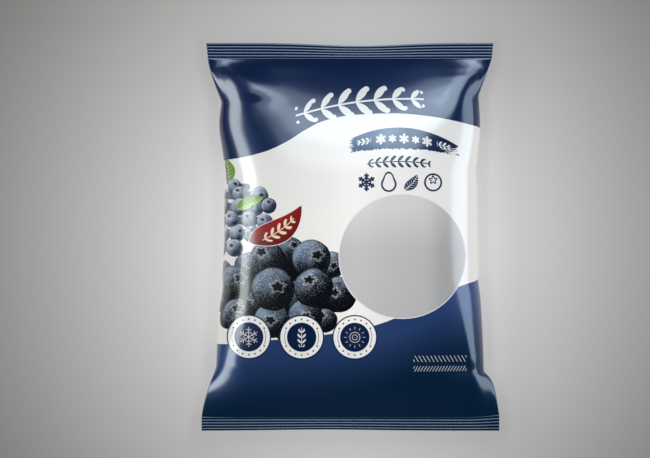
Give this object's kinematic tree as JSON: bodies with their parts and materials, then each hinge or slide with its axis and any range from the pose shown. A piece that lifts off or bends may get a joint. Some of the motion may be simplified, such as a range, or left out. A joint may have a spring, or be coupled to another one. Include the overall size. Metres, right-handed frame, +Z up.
{
  "type": "frozen blueberry bag",
  "caption": "Sealed pillow bag of frozen blueberries with ribbed seals at both ends, drawn-in corners and a printed front with a round pale window, lying on its back.",
  "frame": {"origin": "on the surface that the bag lies on, under the middle of its outline", "axes": "+Y towards the top of the print, +X towards its right side, +Z up out of the printed front"},
  "size_m": [0.2596, 0.338, 0.0644],
  "materials": {
    "printed_film": "satin-gloss printed film, navy and white"
  },
  "bodies": {
    "root": {"bag": "printed_film"}
  },
  "joints": []
}
